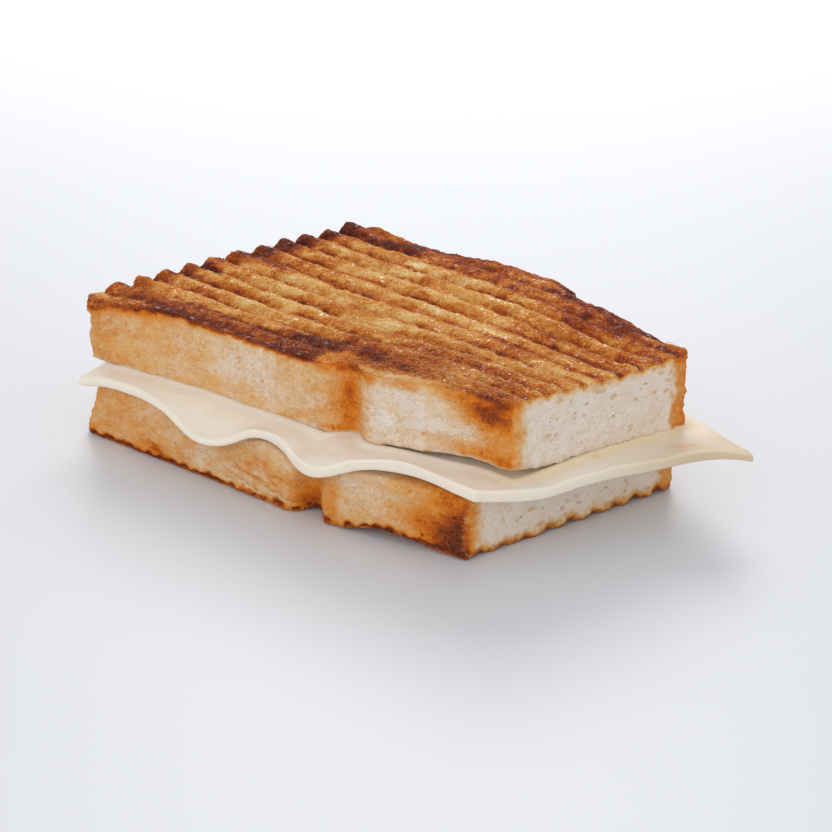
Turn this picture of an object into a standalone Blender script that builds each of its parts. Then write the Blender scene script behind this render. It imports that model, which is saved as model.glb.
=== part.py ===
"""Grilled cheese sandwich: two slices of white loaf round a layer of cheese, pressed between ribbed plates.

+X runs along the sandwich from the loaf's base crust to the trimmed end, +Y runs across it to the far side
crust and +Z is up.  Both slices are mushroom-shaped: a wide base lobe, a waist on each side, and a crown lobe
whose top was cut off straight.  Each slice starts as a block lofted round its outline.  A ribbed plate then
takes its shape out of the grilled face, and the filling takes its shape out of the other one.
Every length below is in millimetres, and is turned into metres where a mesh is made.
"""

import math

import bmesh
import bpy
from mathutils import Vector

MM = 0.001

# Driving dimensions
SANDWICH_HEIGHT = 39.0      # crest of the upper ridges at the middle of the sandwich
FILLING_FLOOR = 17.0        # underside of the cheese at the middle of the sandwich
CHEESE_THICKNESS = 3.0
RIDGE_DEPTH = 2.1
LOWER_RIDGE_PITCH = 6.9
UPPER_RIDGE_PITCH = 6.6     # at the middle: the pressed slice fans out towards its base end
UPPER_RIDGE_FAN = -0.0127   # change of the pitch for each millimetre along x
UPPER_RIDGE_SLOPE = -0.083  # how far the ridges turn away from x, at the middle one
CLEARANCE = 0.3             # gap left between a slice and the cheese

# Mesh fineness
ARC_STEP = 1.8              # longest side on a rounded corner
WALL_STEP = 7.0             # longest side on a straight wall
RIDGE_STATION = 10.0        # spacing of the stations along a ridge
FACE_STATION = 9.0          # spacing of the grid on the faces that meet the cheese
WALL_LEVELS = (-0.35, 0.0, 0.3, 0.7, 1.0, 1.35)

# Outlines, anticlockwise from above: x, y and corner radius
BOTTOM_CORNERS = (
    (-73.0, -45.4, 4.0),    # base crust, near corner
    (-30.0, -45.0, 60.0),
    (3.4, -46.0, 4.0),      # near shoulder
    (8.2, -38.6, 2.5),      # near waist
    (13.0, -45.2, 3.5),     # near side of the crown
    (32.0, -42.6, 30.0),
    (52.6, -38.4, 2.5),     # cut end, near corner
    (67.6, 27.2, 3.0),      # cut end, far corner
    (57.0, 32.6, 6.0),
    (33.0, 37.0, 8.0),      # far side of the crown
    (22.5, 36.0, 3.0),      # far waist
    (16.0, 43.2, 6.0),      # far shoulder
    (-56.0, 44.6, 10.0),    # base crust, far corner
)
TOP_CORNERS = (
    (-77.0, -42.2, 3.0),
    (-32.0, -38.6, 60.0),
    (8.4, -38.8, 4.5),
    (15.0, -34.0, 3.0),
    (20.8, -37.8, 5.0),
    (42.0, -34.2, 40.0),
    (60.2, -29.8, 2.5),
    (71.2, 25.2, 2.5),
    (60.4, 31.2, 6.0),
    (38.0, 38.6, 8.0),
    (29.0, 38.6, 3.0),
    (20.8, 45.8, 7.0),
    (-4.0, 51.8, 30.0),
    (-25.0, 50.0, 30.0),
    (-60.0, 52.6, 8.0),
)

# The cheese layer: its corners, and the point that its far edge bows towards
CHEESE_NEAR_LEFT = (-69.0, -48.6)
CHEESE_NEAR_RIGHT = (57.5, -41.6)
CHEESE_TIP = (94.8, 19.6)
CHEESE_FAR_LEFT = (-50.0, 46.0)
CHEESE_FAR_PULL = (40.0, 50.0)
CHEESE_COLUMNS = 40
CHEESE_ROWS = 13
CHEESE_ROW_GROWTH = 1.6     # rows lie closer together at the near edge, where the waves are
CHEESE_RIM = 0.6            # softening of the cut edge
# Waves of the near edge in plan: centre along x, half width, how far the wave reaches out
CHEESE_EDGE_WAVES = (
    (-20.0, 15.0, 5.8),
    (-4.0, 5.0, -0.6),
    (14.0, 11.0, 5.8),
    (38.0, 12.0, -1.2),
)
# Where the overhanging cheese droops, or lifts where the drop is below 0: x, y, radius and drop
CHEESE_DROOPS = (
    (-69.0, -49.0, 7.0, 2.4),
    (93.0, 17.0, 8.0, -1.4),
    (-22.0, -50.0, 17.0, 4.2),
    (-5.0, -47.0, 6.0, -2.4),
    (14.0, -49.0, 11.0, 3.6),
    (38.0, -41.0, 10.0, -1.4),
    (67.0, -27.0, 15.0, 1.8),
    (88.0, 9.0, 10.0, -2.0),
)


def bump(value, centre, width):
    """A smooth hump of height 1 round centre."""
    return math.exp(-((value - centre) / width) ** 2)


def smooth(value, low, high):
    """0 up to low, 1 from high on, with an even turn between them."""
    share = min(1.0, max(0.0, (value - low) / (high - low)))
    return share * share * (3.0 - 2.0 * share)


# Outlines in plan


def rounded_outline(corners):
    """The corner list as a closed ring of points, each corner turned into an arc."""
    ring = []
    for index, (x, y, radius) in enumerate(corners):
        here = Vector((x, y))
        before = Vector(corners[index - 1][:2]) - here
        after = Vector(corners[(index + 1) % len(corners)][:2]) - here
        half = 0.5 * before.angle(after)
        tangent = min(radius / math.tan(half), 0.48 * before.length, 0.48 * after.length)
        radius = tangent * math.tan(half)
        centre = here + (before.normalized() + after.normalized()).normalized() * radius / math.sin(half)
        start = here + before.normalized() * tangent - centre
        turn = start.angle_signed(here + after.normalized() * tangent - centre)
        steps = max(1, math.ceil(abs(turn) * radius / ARC_STEP))
        for step in range(steps + 1):
            angle = -turn * step / steps
            arm = Vector((start.x * math.cos(angle) - start.y * math.sin(angle),
                          start.x * math.sin(angle) + start.y * math.cos(angle)))
            ring.append(centre + arm)
    return divided(ring)


def divided(ring):
    """The ring with its long straight sides cut into shorter ones."""
    points = []
    for index, point in enumerate(ring):
        following = ring[(index + 1) % len(ring)]
        parts = max(1, math.ceil((following - point).length / WALL_STEP))
        points.extend(point.lerp(following, part / parts) for part in range(parts))
    return points


def distance_outside(ring, x, y):
    """Distance from a point to the ring, positive outside it and negative inside."""
    nearest = math.inf
    inside = False
    for index, start in enumerate(ring):
        end = ring[(index + 1) % len(ring)]
        dx, dy = end.x - start.x, end.y - start.y
        share = ((x - start.x) * dx + (y - start.y) * dy) / (dx * dx + dy * dy)
        share = min(1.0, max(0.0, share))
        nearest = min(nearest, math.hypot(x - start.x - share * dx, y - start.y - share * dy))
        if (start.y > y) != (end.y > y) and x < start.x + (y - start.y) / dy * dx:
            inside = not inside
    return -nearest if inside else nearest


BOTTOM_RING = rounded_outline(BOTTOM_CORNERS)
TOP_RING = rounded_outline(TOP_CORNERS)


# Heights of the faces


def filling_floor(x, y):
    """Underside of the cheese between the slices."""
    rise = 1.5 * smooth(x, -30.0, 40.0) * smooth(-y, -30.0, 40.0)
    fall = 1.0 * smooth(x, 20.0, 75.0) * smooth(y, -20.0, 30.0)
    return FILLING_FLOOR + rise - fall + 0.25 * math.sin(x / 13.0 + 0.6) * math.cos(y / 17.0)


def cheese_floor(x, y):
    """Underside of the cheese all over, with the droops and lifts of its overhanging edge."""
    height = filling_floor(x, y)
    outside = distance_outside(BOTTOM_RING, x, y)
    for centre_x, centre_y, radius, drop in CHEESE_DROOPS:
        reach = smooth(outside, -0.5, 6.0) if drop > 0.0 else smooth(outside, -3.0, 4.0)
        height -= drop * reach * bump(math.hypot(x - centre_x, y - centre_y), 0.0, radius)
    return height


def top_slice_floor(x, y):
    """Underside of the top slice: on the cheese, and lifted off it at the near corner of the cut end."""
    lift = 1.3 * bump(x, 48.0, 22.0) * smooth(-y, 12.0, 34.0)
    edge = distance_outside(TOP_RING, x, y)
    rounding = 0.8 * smooth(edge, -3.0, 0.5)
    return filling_floor(x, y) + CHEESE_THICKNESS + CLEARANCE + lift + rounding


def bottom_slice_roof(x, y):
    """Top of the bottom slice, under the cheese, softened at its edge."""
    edge = distance_outside(BOTTOM_RING, x, y)
    return filling_floor(x, y) - CLEARANCE - 1.6 * smooth(edge, -4.0, 0.5)


def valley_depth(number):
    """How far below the crests the ribs reach: 1 at each whole ridge number, 0 half way between two."""
    return 1.0 - abs(math.sin(math.pi * number))


def ridge_drift(x, y):
    """How far the ridges of the pressed slice stray from an even fan."""
    drift = -2.4 + 2.4 * smooth(y, 0.0, 24.0) + 1.0 * smooth(y, 24.0, 44.0)
    drift += (1.0 - smooth(x, -50.0, -15.0)) * smooth(y, 0.0, 12.0)
    return drift - 0.8 * bump(x, 2.0, 22.0) + 0.9 * smooth(x, 20.0, 50.0)


def upper_ridge(x, number):
    """y of a ridge line of the top slice at x; valleys have whole numbers."""
    y = -7.3 + UPPER_RIDGE_SLOPE * x + number * (UPPER_RIDGE_PITCH + UPPER_RIDGE_FAN * x)
    return y + ridge_drift(x, y)


def lower_ridge(x, number):
    """y of a ridge line of the bottom slice at x."""
    return (number + 0.1) * LOWER_RIDGE_PITCH


def top_slice_roof(x, y, number):
    """Grilled face of the top slice: ridges deep at the base end, faint on the near side of the crown."""
    faint = bump(x, 30.0, 34.0) * smooth(-y, -4.0, 26.0)
    near_band = smooth(-y, 25.0, 32.0) * (0.3 + 0.7 * smooth(x, -66.0, -54.0))
    strength = (1.0 - 0.75 * faint) * (1.0 - 0.7 * near_band) * (1.0 - 0.3 * smooth(x, -30.0, 60.0))
    height = SANDWICH_HEIGHT - 2.0 + 2.8 * smooth(x, -62.0, 30.0)
    height -= 0.8 * smooth(x, 0.0, 70.0) * smooth(y, -30.0, 30.0)
    height += 0.35 * math.sin(x / 15.0 + y / 21.0) + 0.3 * math.sin(y / 12.0 - x / 29.0)
    far_side = 50.0 - 9.0 * smooth(x, 12.0, 34.0) - 9.0 * smooth(x, 34.0, 64.0)
    rolled = smooth(x, -56.0, -36.0) * (1.0 - 0.7 * smooth(x, 58.0, 68.0))
    height -= (2.8 + 1.2 * bump(x, 20.0, 14.0)) * smooth(y - far_side, -9.0, 1.0) * rolled
    height += 1.0 * bump(x, -46.0, 22.0) * smooth(-y, 22.0, 33.0)
    corner = 1.0 - smooth(x, -72.0, -58.0)
    height -= (0.4 + 1.0 * corner) * smooth(-38.0 - y, -6.0, 1.0) * (1.0 - smooth(x, 20.0, 45.0))
    return height - RIDGE_DEPTH * strength * valley_depth(number)


def bottom_slice_floor(x, y, number):
    """Grilled face of the bottom slice: ridges that stand on z = 0, and a curled near edge past the waist."""
    edge = distance_outside(BOTTOM_RING, x, y)
    curl = 2.6 * bump(x, 31.0, 9.0) * smooth(-y, 32.0, 44.0)
    rolled = 0.3 * smooth(edge, -3.0, 1.0)
    band = 1.0 - 0.7 * smooth(-y, 38.0, 43.0)
    return curl + rolled + 0.9 * RIDGE_DEPTH * band * valley_depth(number)


def top_wall(x, y, level):
    """Side of the top slice: its base end leans out towards the grilled face, its near side leans in."""
    lean = 3.4 * smooth(-x, -70.0, 73.0) * smooth(-y, -10.0, 40.0)
    lean_in = (1.2 + 1.8 * bump(x, -50.0, 18.0)) * smooth(-y, 20.0, 36.0) * (1.0 - smooth(x, 2.0, 14.0))
    belly = 0.5 * math.sin(x / 9.0 + 2.2 * level) * math.sin(math.pi * min(1.0, max(0.0, level)))
    floor = FILLING_FLOOR + CHEESE_THICKNESS
    return x + lean * (1.0 - level), y - belly + lean_in * level, floor + level * (SANDWICH_HEIGHT - floor)


def bottom_wall(x, y, level):
    """Side of the bottom slice: its base end leans out towards the grilled face."""
    lean = 4.0 * smooth(-x, -70.0, 73.0) * smooth(-y, -10.0, 40.0)
    belly = 0.5 * math.sin(x / 8.0 + 1.7 * level) * math.sin(math.pi * min(1.0, max(0.0, level)))
    return x + lean * level, y - belly, level * FILLING_FLOOR


# Meshes


def new_object(name, builder, material=None):
    mesh = bpy.data.meshes.new(name)
    builder.to_mesh(mesh)
    builder.free()
    made = bpy.data.objects.new(name, mesh)
    bpy.context.scene.collection.objects.link(made)
    if material:
        mesh.materials.append(material)
    return made


def food_material(name, colour, roughness):
    material = bpy.data.materials.new(name)
    material.use_nodes = True
    surface = material.node_tree.nodes["Principled BSDF"]
    surface.inputs["Base Color"].default_value = (*colour, 1.0)
    surface.inputs["Roughness"].default_value = roughness
    surface.inputs["Metallic"].default_value = 0.0
    return material


def grid_faces(builder, grid):
    for near, far in zip(grid, grid[1:]):
        for index in range(len(near) - 1):
            builder.faces.new((near[index], near[index + 1], far[index + 1], far[index]))


def rim_of(grid):
    """The grid's outermost vertices in order round it."""
    right = [line[-1] for line in grid[1:]]
    left = [line[0] for line in grid[-2:0:-1]]
    return grid[0] + right + grid[-1][-2::-1] + left


def band_faces(builder, lower, upper):
    """Quads between two rings of vertices with the same count."""
    for index, vertex in enumerate(lower):
        after = (index + 1) % len(lower)
        builder.faces.new((vertex, lower[after], upper[after], upper[index]))


def lofted_block(ring, wall):
    """A closed block round the outline; wall(x, y, level) gives each point of its side."""
    builder = bmesh.new()
    rings = []
    for level in WALL_LEVELS:
        rings.append([builder.verts.new(Vector(wall(x, y, level)) * MM) for x, y in ring])
    for lower, upper in zip(rings, rings[1:]):
        band_faces(builder, lower, upper)
    builder.faces.new(reversed(rings[0]))
    builder.faces.new(rings[-1])
    return builder


def stations(low, high, step):
    count = math.ceil((high - low) / step)
    return [low + (high - low) * index / count for index in range(count + 1)]


def shaped_plate(points, flat_side):
    """A block with one face given by a grid of points and a flat back at flat_side."""
    builder = bmesh.new()
    grid = [[builder.verts.new(Vector(point) * MM) for point in line] for line in points]
    grid_faces(builder, grid)
    bmesh.ops.triangulate(builder, faces=builder.faces)
    rim = rim_of(grid)
    back = [builder.verts.new(Vector((vertex.co.x, vertex.co.y, flat_side * MM))) for vertex in rim]
    band_faces(builder, back, rim)
    builder.faces.new(back)
    bmesh.ops.recalc_face_normals(builder, faces=builder.faces)
    return builder


def take_out(body, cutter):
    """Cut one object out of another, and keep the cutter hidden."""
    cutter.hide_render = True
    cutter.display_type = "WIRE"
    cut = body.modifiers.new(cutter.name, "BOOLEAN")
    cut.operation = "DIFFERENCE"
    cut.object = cutter


# The slices

REACH_X = (-85.0, 85.0)
REACH_Y = (-60.0, 65.0)
ABOVE = 70.0
BELOW = -30.0


def ribbed_plate(ridge_line, height, first, last, steps, flat_side):
    """The plate that presses the ridges from number first to last, with steps strips across each."""
    points = []
    for step in range(first * steps, last * steps + 1):
        number = step / steps
        line = []
        for x in stations(*REACH_X, RIDGE_STATION):
            y = ridge_line(x, number)
            line.append((x, y, height(x, y, number)))
        points.append(line)
    return shaped_plate(points, flat_side)


def filling_plate(height, flat_side):
    """The block that stands for the filling where a slice meets it."""
    columns = stations(*REACH_X, FACE_STATION)
    rows = stations(*REACH_Y, FACE_STATION)
    return shaped_plate([[(x, y, height(x, y)) for x in columns] for y in rows], flat_side)


def make_bottom_slice():
    crust = food_material("toasted_bread_lower", (0.62, 0.36, 0.16), 0.75)
    body = new_object("bottom_slice", lofted_block(BOTTOM_RING, bottom_wall), crust)
    ribs = ribbed_plate(lower_ridge, bottom_slice_floor, -9, 9, 4, BELOW)
    take_out(body, new_object("lower_plate_cutter", ribs))
    take_out(body, new_object("bottom_slice_roof_cutter", filling_plate(bottom_slice_roof, ABOVE)))
    return body


def make_top_slice():
    crust = food_material("toasted_bread_upper", (0.70, 0.42, 0.18), 0.75)
    body = new_object("top_slice", lofted_block(TOP_RING, top_wall), crust)
    ribs = ribbed_plate(upper_ridge, top_slice_roof, -8, 11, 6, ABOVE)
    take_out(body, new_object("upper_plate_cutter", ribs))
    take_out(body, new_object("top_slice_floor_cutter", filling_plate(top_slice_floor, BELOW)))
    return body


# The cheese


def near_edge(share):
    """Near edge of the cheese layer, from its left corner to its right one."""
    point = Vector(CHEESE_NEAR_LEFT).lerp(Vector(CHEESE_NEAR_RIGHT), share)
    point.y -= sum(out * bump(point.x, centre, width) for centre, width, out in CHEESE_EDGE_WAVES)
    return point


def far_edge(share):
    """Far edge of the cheese layer, a bow from its left corner to the tip."""
    left, pull, tip = Vector(CHEESE_FAR_LEFT), Vector(CHEESE_FAR_PULL), Vector(CHEESE_TIP)
    return left.lerp(pull, share).lerp(pull.lerp(tip, share), share)


def left_edge(share):
    point = Vector(CHEESE_NEAR_LEFT).lerp(Vector(CHEESE_FAR_LEFT), share)
    point.x += 3.0 * math.sin(math.pi * share)
    return point


def right_edge(share):
    point = Vector(CHEESE_NEAR_RIGHT).lerp(Vector(CHEESE_TIP), share)
    inward = 3.2 * math.sin(math.pi * share ** 1.6) - 1.2 * bump(share, 0.2, 0.15)
    return point + Vector((-inward, 0.6 * inward))


def cheese_plan(along, across):
    """A patch spanned by the four edges."""
    ends = left_edge(across).lerp(right_edge(across), along)
    sides = near_edge(along).lerp(far_edge(along), across)
    near_corners = near_edge(0.0).lerp(near_edge(1.0), along)
    far_corners = far_edge(0.0).lerp(far_edge(1.0), along)
    return ends + sides - near_corners.lerp(far_corners, across)


def softened(ring):
    """The ring with its corners rounded off by averaging each point with its neighbours."""
    following = ring[1:] + ring[:1]
    return [0.25 * ring[index - 1] + 0.5 * here + 0.25 * following[index] for index, here in enumerate(ring)]


def outward(ring, index):
    along = ring[(index + 1) % len(ring)] - ring[index - 1]
    return Vector((along.y, -along.x)).normalized()


def make_cheese():
    plan = []
    for row in range(CHEESE_ROWS + 1):
        across = (row / CHEESE_ROWS) ** CHEESE_ROW_GROWTH
        plan.append([cheese_plan(column / CHEESE_COLUMNS, across) for column in range(CHEESE_COLUMNS + 1)])
    outline = softened(rim_of(plan))
    inset = [point - outward(outline, index) * CHEESE_RIM for index, point in enumerate(outline)]
    for place, point in zip(rim_of(plan), inset):
        place.xy = point

    builder = bmesh.new()

    def vertex(point, lift):
        height = cheese_floor(point.x, point.y) + lift
        return builder.verts.new(Vector((point.x, point.y, height)) * MM)

    lower = [[vertex(point, 0.0) for point in line] for line in plan]
    upper = [[vertex(point, CHEESE_THICKNESS) for point in line] for line in plan]
    grid_faces(builder, lower)
    grid_faces(builder, upper)
    lower_edge = [vertex(point, CHEESE_RIM) for point in outline]
    upper_edge = [vertex(point, CHEESE_THICKNESS - CHEESE_RIM) for point in outline]
    bands = (rim_of(lower), lower_edge, upper_edge, rim_of(upper))
    for below, over in zip(bands, bands[1:]):
        band_faces(builder, below, over)
    bmesh.ops.recalc_face_normals(builder, faces=builder.faces)
    return new_object("cheese_layer", builder, food_material("white_cheese", (0.87, 0.80, 0.62), 0.35))


def stand_on_origin(pieces):
    """Shift the pieces so that the middle of their box's underside is the origin."""
    graph = bpy.context.evaluated_depsgraph_get()
    low = Vector((math.inf, math.inf, math.inf))
    high = -low
    for piece in pieces:
        for vertex in piece.evaluated_get(graph).data.vertices:
            low = Vector(map(min, low, vertex.co))
            high = Vector(map(max, high, vertex.co))
    shift = Vector((0.5 * (low.x + high.x), 0.5 * (low.y + high.y), low.z))
    for made in bpy.context.scene.objects:
        made.location = -shift


def main():
    for leftover in list(bpy.context.scene.objects):
        bpy.data.objects.remove(leftover)
    stand_on_origin([make_bottom_slice(), make_cheese(), make_top_slice()])


main()
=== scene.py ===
"""Looks of a grilled cheese sandwich: two toasted slices with pressed ridges, the cheese between them, its
crumbs and fibres, and the table that it stands on.  The file is laid out as an add-on and is run as a script.

Shapes are worked out in millimetres in the units of the slices' outlines, whose middle is MIDDLE, and turned
into metres where a mesh is written.
"""

import math

import bmesh
import bpy
import numpy as np
from bpy.props import FloatProperty, FloatVectorProperty, IntProperty, PointerProperty
from mathutils import Matrix, Vector, noise


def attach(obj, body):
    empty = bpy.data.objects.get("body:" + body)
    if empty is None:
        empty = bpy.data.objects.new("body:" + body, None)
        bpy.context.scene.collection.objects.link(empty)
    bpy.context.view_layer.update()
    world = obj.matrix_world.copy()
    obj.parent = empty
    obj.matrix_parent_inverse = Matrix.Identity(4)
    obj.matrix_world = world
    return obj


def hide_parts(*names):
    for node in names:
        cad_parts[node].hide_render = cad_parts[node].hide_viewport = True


bl_info = {
    "name": "Grilled cheese sandwich",
    "version": (1, 0, 0),
    "blender": (4, 5, 0),
    "location": "3D View > Sidebar > Sandwich",
    "description": "Toasted slices with pressed ridges, a cheese layer, crumbs and a table",
    "category": "Add Mesh",
}

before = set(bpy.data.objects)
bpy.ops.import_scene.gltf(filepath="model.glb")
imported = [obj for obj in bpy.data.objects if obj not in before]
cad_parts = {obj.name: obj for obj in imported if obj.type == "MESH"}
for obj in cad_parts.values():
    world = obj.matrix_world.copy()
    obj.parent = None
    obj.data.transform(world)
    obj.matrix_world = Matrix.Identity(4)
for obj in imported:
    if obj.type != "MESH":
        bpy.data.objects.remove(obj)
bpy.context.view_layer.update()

MM = 0.001
MIDDLE = (8.415, 0.177)     # middle of the sandwich in the units of the outlines, in mm

# The pressed ridges of the top slice
RIDGE_DEPTH = 2.1
UPPER_PITCH = 6.6
UPPER_FAN = -0.0127         # change of the pitch for each millimetre along x
UPPER_SLOPE = -0.083
UPPER_START = -7.3
LOWER_PITCH = 6.9
LOWER_START = 0.69
TOP_HEIGHT = 39.0
FILLING_FLOOR = 17.0
CHEESE_THICKNESS = 3.0

# Trimmed ends of the slices: x where y is 0, and how far the cut leans along x for each millimetre of y
TOP_CUT = (66.2, 0.2)
BOTTOM_CUT = (61.4, 0.229)

# Outlines of the two slices, anticlockwise from above
BOTTOM_OUTLINE = ((-73.0, -45.4), (-30.0, -45.0), (3.4, -46.0), (8.2, -38.6), (13.0, -45.2), (32.0, -42.6),
                  (52.6, -38.4), (67.6, 27.2), (57.0, 32.6), (33.0, 37.0), (22.5, 36.0), (16.0, 43.2),
                  (-56.0, 44.6))
TOP_OUTLINE = ((-77.0, -42.2), (-32.0, -38.6), (8.4, -38.8), (15.0, -34.0), (20.8, -37.8), (42.0, -34.2),
               (60.2, -29.8), (71.2, 25.2), (60.4, 31.2), (38.0, 38.6), (29.0, 38.6), (20.8, 45.8),
               (-4.0, 51.8), (-25.0, 50.0), (-60.0, 52.6))

# Corners of the cheese layer, and the point that pulls its far edge out
CHEESE_NEAR_LEFT = (-69.0, -48.6)
CHEESE_NEAR_RIGHT = (57.5, -41.6)
CHEESE_TIP = (94.8, 19.6)
CHEESE_FAR_LEFT = (-50.0, 46.0)
CHEESE_FAR_PULL = (40.0, 50.0)
# Waves of its near edge: x, half length, how far out
CHEESE_EDGE_WAVES = ((-20.0, 15.0, 5.8), (-4.0, 5.0, -0.6), (14.0, 11.0, 5.8), (38.0, 12.0, -1.2))
# Where its rim hangs down past the bread, or rises: x, y, radius, drop
CHEESE_DROOPS = ((-69.0, -49.0, 7.0, 2.4), (93.0, 17.0, 8.0, -1.4), (-22.0, -50.0, 17.0, 4.2),
                 (-5.0, -47.0, 6.0, -2.4), (14.0, -49.0, 11.0, 3.6), (38.0, -41.0, 10.0, -1.4),
                 (67.0, -27.0, 15.0, 1.8), (88.0, 9.0, 10.0, -2.0))


# Sums on arrays


def smooth(value, low, high):
    """0 up to low, 1 from high on, with an even turn between them."""
    share = np.clip((value - low) / (high - low), 0.0, 1.0)
    return share * share * (3.0 - 2.0 * share)


def bump(value, centre, width):
    return np.exp(-((value - centre) / width) ** 2)


def spot(x, y, centre_x, centre_y, long, wide, turn=0.0):
    """A soft oval patch, long along x and turned by some degrees."""
    cos, sin = math.cos(math.radians(turn)), math.sin(math.radians(turn))
    along = (x - centre_x) * cos + (y - centre_y) * sin
    across = (y - centre_y) * cos - (x - centre_x) * sin
    return np.exp(-(along / long) ** 2 - (across / wide) ** 2)


def clouds(places, size, seed):
    """Soft noise from about -1 to 1; size is a number, or one for each axis."""
    scaled = places / np.asarray(size, float) + 31.7 * seed
    return np.array([noise.noise(place) for place in scaled.tolist()])


def distance_outside(outline, x, y):
    """Distance from points to a closed outline, negative inside it."""
    nearest = np.full(x.shape, np.inf)
    inside = np.zeros(x.shape, bool)
    for index, (ax, ay) in enumerate(outline):
        bx, by = outline[(index + 1) % len(outline)]
        dx, dy = bx - ax, by - ay
        share = np.clip(((x - ax) * dx + (y - ay) * dy) / (dx * dx + dy * dy), 0.0, 1.0)
        nearest = np.minimum(nearest, np.hypot(x - ax - share * dx, y - ay - share * dy))
        if dy:
            inside ^= ((ay > y) != (by > y)) & (x < ax + (y - ay) / dy * dx)
    return np.where(inside, -nearest, nearest)


# Heights of the faces, as in the solids


def filling_floor(x, y):
    rise = 1.5 * smooth(x, -30.0, 40.0) * smooth(-y, -30.0, 40.0)
    fall = 1.0 * smooth(x, 20.0, 75.0) * smooth(y, -20.0, 30.0)
    return FILLING_FLOOR + rise - fall + 0.25 * np.sin(x / 13.0 + 0.6) * np.cos(y / 17.0)


def ridge_drift(x, y):
    """How far the ridges of the pressed slice stray from an even fan."""
    drift = -2.4 + 2.4 * smooth(y, 0.0, 24.0) + 1.0 * smooth(y, 24.0, 44.0)
    drift = drift + (1.0 - smooth(x, -50.0, -15.0)) * smooth(y, 0.0, 12.0)
    return drift - 0.8 * bump(x, 2.0, 22.0) + 0.9 * smooth(x, 20.0, 50.0)


def upper_number(x, y):
    """Which ridge of the top slice a point is on: whole numbers are valleys."""
    even = y - ridge_drift(x, y)
    even = y - ridge_drift(x, even)
    return (even - UPPER_START - UPPER_SLOPE * x) / (UPPER_PITCH + UPPER_FAN * x)


def past_cut_end(x, y, cut):
    """Distance along x past a slice's trimmed end, negative inside it."""
    return x - cut[0] - cut[1] * y


def flat_stretch(x, y):
    """1 in the middle of the near stretch of the top face, where the ridges are faint and the crust rough."""
    return bump(x, 30.0, 34.0) * smooth(-y, -4.0, 26.0)


def valley_shape(number):
    """1 along the valleys and 0 on the crests."""
    return 1.0 - np.sqrt(np.sin(np.pi * number) ** 2 + 0.004)


def top_roof(x, y, valley, strength_change):
    near_band = smooth(-y, 25.0, 32.0) * (0.3 + 0.7 * smooth(x, -66.0, -54.0))
    strength = (1.0 - 0.75 * flat_stretch(x, y)) * (1.0 - 0.7 * near_band)
    strength *= 1.0 - 0.3 * smooth(x, -30.0, 60.0)
    strength *= 1.0 - 0.55 * smooth(past_cut_end(x, y, TOP_CUT), -9.0, 0.0)
    height = TOP_HEIGHT - 2.0 + 2.8 * smooth(x, -62.0, 30.0)
    height -= 0.8 * smooth(x, 0.0, 70.0) * smooth(y, -30.0, 30.0)
    height += 0.35 * np.sin(x / 15.0 + y / 21.0) + 0.3 * np.sin(y / 12.0 - x / 29.0)
    far_side = 50.0 - 9.0 * smooth(x, 12.0, 34.0) - 9.0 * smooth(x, 34.0, 64.0)
    rolled = smooth(x, -56.0, -36.0) * (1.0 - 0.7 * smooth(x, 58.0, 68.0))
    height -= (2.8 + 1.2 * bump(x, 20.0, 14.0)) * smooth(y - far_side, -9.0, 1.0) * rolled
    height += 1.0 * bump(x, -46.0, 22.0) * smooth(-y, 22.0, 33.0)
    corner = 1.0 - smooth(x, -72.0, -58.0)
    height -= (0.4 + 1.0 * corner) * smooth(-38.0 - y, -6.0, 1.0) * (1.0 - smooth(x, 20.0, 45.0))
    return height - RIDGE_DEPTH * strength * strength_change * valley


def bottom_floor(x, y, valley):
    edge = distance_outside(BOTTOM_OUTLINE, x, y)
    curl = 2.6 * bump(x, 31.0, 9.0) * smooth(-y, 32.0, 44.0)
    rolled = 0.3 * smooth(edge, -3.0, 1.0)
    band = 1.0 - 0.7 * smooth(-y, 38.0, 43.0)
    return curl + rolled + 0.9 * RIDGE_DEPTH * band * valley


# Meshes

RELAXING_ROUNDS = 2     # which even out the steps of a slice's new skin


def in_outline_units(places):
    return places / MM + (*MIDDLE, 0.0)


def in_metres(places):
    return (places - (*MIDDLE, 0.0)) * MM


def numbers_of(items, name, kind=float):
    """One number for each of a mesh's vertices, corners or faces."""
    flat = np.empty(len(items), kind)
    items.foreach_get(name, flat)
    return flat


def vectors_of(items, name):
    flat = np.empty(len(items) * 3)
    items.foreach_get(name, flat)
    return flat.reshape(-1, 3)


def places_of(mesh):
    """Vertex places in mm, in the units of the outlines."""
    return in_outline_units(vectors_of(mesh.vertices, "co"))


def normals_of(mesh):
    return vectors_of(mesh.vertex_normals, "vector")


def put_places(mesh, places):
    mesh.vertices.foreach_set("co", in_metres(places).ravel())
    mesh.update()


def paint(mesh, **amounts):
    """Keeps numbers from 0 to 1 for each vertex, which the material reads by name."""
    for name, values in amounts.items():
        layer = mesh.attributes.new(name, "FLOAT", "POINT")
        layer.data.foreach_set("value", np.clip(values, 0.0, 1.0))


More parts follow.
